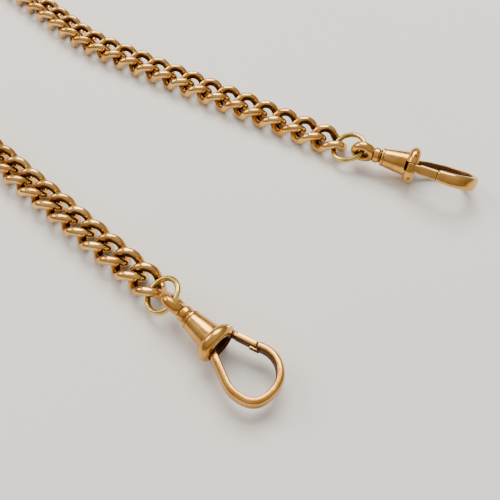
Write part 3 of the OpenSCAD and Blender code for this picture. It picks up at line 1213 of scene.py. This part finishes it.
        def shade(points: Array, normals: Array) -> Array:
            """Painted shade and oxide on the side that faces the loop, on the knuckle's flanks and on the
            tail.

            Args:
                points: places of the vertices, one row each.
                normals: unit normals at the vertices, one row each.
            Returns:
                Amount of painted shade and oxide at each vertex.
            """
            inward = -(normals[:, :2] @ out)
            near_pin = np.linalg.norm(points[:, :2] - pin, axis=-1)
            flank = np.abs(normals[:, 2]) * (near_pin < 1.3)
            along = (points[:, :2] - pin) @ run
            return (0.95 * smooth_step(0.3, 0.9, inward) + 0.9 * smooth_step(0.6, 0.9, flank)
                    + smooth_step(-0.3, -0.9, along) + 0.9 * smooth_step(length - 0.12, length, along))

        paint(obj, shade)
        self.seat().settle(obj)
        finish_piece(obj, material, self.name("gate_body"), self.name("gate"))

    def pin(self, material: bpy.types.Material) -> None:
        """Build the gate's pin, with slightly domed ends.

        Args:
            material: what the piece is dressed in.
        """
        half = self.pin_length / 2
        profile = rounded_line([(-half, 0.0), (-half, self.pin_radius), (half, self.pin_radius),
                                (half, 0.0)], 0.09)
        obj = turned_shape(self.name("gate_pin_rod"), dense_line(profile, 0.4), 48)
        move_points(obj, rotation(-90.0, "Y"), np.array([self.pin_x, self.pin_y, 0.0]))
        # Painted shade and oxide on the pin's round side, where it sits in its holes.
        paint(obj, lambda points, normals: smooth_step(0.86, 0.98, 1.0 - np.abs(normals[:, 2])) * 0.7)
        self.seat().settle(obj)
        finish_piece(obj, material, self.name("clip_body"), self.name("gate_pin"))

    def spring(self, material: bpy.types.Material) -> None:
        """Dress the leaf spring inside the barrel, whose plain strip is its real shape.

        Args:
            material: what the piece is dressed in.
        """
        node = frame["nodes"][self.name("gate_spring")]
        node.data.materials.clear()
        node.data.materials.append(material)
        LOG.info("%s keeps its own mesh", node.name)

    def build(self, gold: bpy.types.Material, steel: bpy.types.Material) -> None:
        """Build every piece of the clip.

        Args:
            gold: material of the clip's metal.
            steel: material of the spring.
        """
        self.eye(gold)
        self.barrel(gold)
        self.collar(gold)
        self.hook(gold)
        self.gate(gold)
        self.pin(gold)
        self.spring(steel)


# ---------------------------------------------------------------- room
@dataclass(frozen=True)
class Studio:
    """The table, the camera and soft lights."""

    eye_mm: tuple[float, float, float] = (95.4, -57.45, 90.7)
    heading: float = 36.4
    tilt_down: float = 55.26
    focal_px: float = 600.0
    frame_px: float = 500.0
    sensor_mm: float = 36.0

    def camera(self) -> None:
        """Set the camera where the pictured view is taken from, level from side to side."""
        data = bpy.data.cameras.new("view")
        data.sensor_width = self.sensor_mm
        data.lens = self.sensor_mm * self.focal_px / self.frame_px
        data.clip_start = 0.002
        data.clip_end = 20.0
        camera = bpy.data.objects.new("view", data)
        turn = Matrix.Rotation(math.radians(self.heading), 4, "Z") @ Matrix.Rotation(
            math.radians(90.0 - self.tilt_down), 4, "X")
        camera.matrix_world = Matrix.Translation([c * MM for c in self.eye_mm]) @ turn
        bpy.context.scene.collection.objects.link(camera)
        bpy.context.scene.camera = camera

    def table(self, finish: Paper) -> None:
        """Lay the table under the part, far wider than any view of it.

        Args:
            finish: look of the table's surface.
        """
        half = 3.0
        corners = np.array([[-half, -half, 0.0], [half, -half, 0.0], [half, half, 0.0], [-half, half, 0.0]])
        floor = new_mesh("table", corners, [(0, 1, 2, 3)])
        floor.data.materials.append(finish.make())

    def light(self, name: str, place: tuple[float, float, float], size: tuple[float, float],
              power: float, colour: str) -> None:
        """Hang a soft box that faces the part.

        Args:
            name: name of the light.
            place: where it hangs, in metres.
            size: its width and height in metres.
            power: watts.
            colour: sRGB hex.
        """
        data = bpy.data.lights.new(name, "AREA")
        data.shape = "RECTANGLE"
        data.size, data.size_y = size
        data.energy = power
        data.color = linear(colour)[:3]
        lamp = bpy.data.objects.new(name, data)
        back = np.array(place) / np.linalg.norm(place)
        right = unit(np.cross([0.0, 0.0, 1.0], back)) if abs(back[2]) < 0.999 else np.array([1.0, 0.0, 0.0])
        aim = Matrix(np.stack([right, np.cross(back, right), back], -1).tolist()).to_4x4()
        lamp.matrix_world = Matrix.Translation(place) @ aim
        bpy.context.scene.collection.objects.link(lamp)

    def lights(self) -> None:
        """Soft light from above and behind, a weaker one from the left, in a pale room."""
        self.light("window", (-0.25, 0.45, 0.75), (0.7, 0.55), 12.0, "#fffaf2")
        self.light("lamp", (-0.7, -0.15, 0.5), (0.4, 0.4), 3.6, "#fff2e0")
        world = bpy.data.worlds.new("room")
        world.use_nodes = True
        tree = world.node_tree
        background = tree.nodes["Background"]
        background.inputs["Color"].default_value = linear("#dcdad6")
        direction = add_node(tree, "ShaderNodeTexCoord", {}, {}).outputs["Generated"]
        height = add_node(tree, "ShaderNodeSeparateXYZ", {}, {"Vector": direction}).outputs["Z"]
        glow = add_node(tree, "ShaderNodeMapRange",
                        {"From Min": 0.0, "From Max": 0.8, "To Min": 0.3, "To Max": 0.98},
                        {"Value": height}).outputs["Result"]
        tree.links.new(glow, background.inputs["Strength"])
        bpy.context.scene.world = world

    def build(self) -> None:
        """Build the room."""
        self.camera()
        self.table(Paper("matt_card", "#f0eee9", "#e9e7e1"))
        self.lights()


def main() -> None:
    """Build the room, the chain, the rings and the clips."""
    logging.basicConfig(level=logging.INFO, format="%(message)s")
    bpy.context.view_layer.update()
    Studio().build()
    rose, clip_gold = ROSE_GOLD.make(), CLIP_GOLD.make()
    green, steel = GREEN_GOLD.make(), SPRING_STEEL.make()
    Chain().build(CurbLink(), rose)
    for ring in (JumpRing(End.WATCH, seam_at=-100.0), JumpRing(End.FOB, seam_at=120.0)):
        ring.build(green)
    for clip in (Clip(End.WATCH, eye_turn=32.0, corner=0.42), Clip(End.FOB, eye_turn=5.0, corner=0.12)):
        clip.build(clip_gold, steel)


if __name__ == "__main__":
    main()
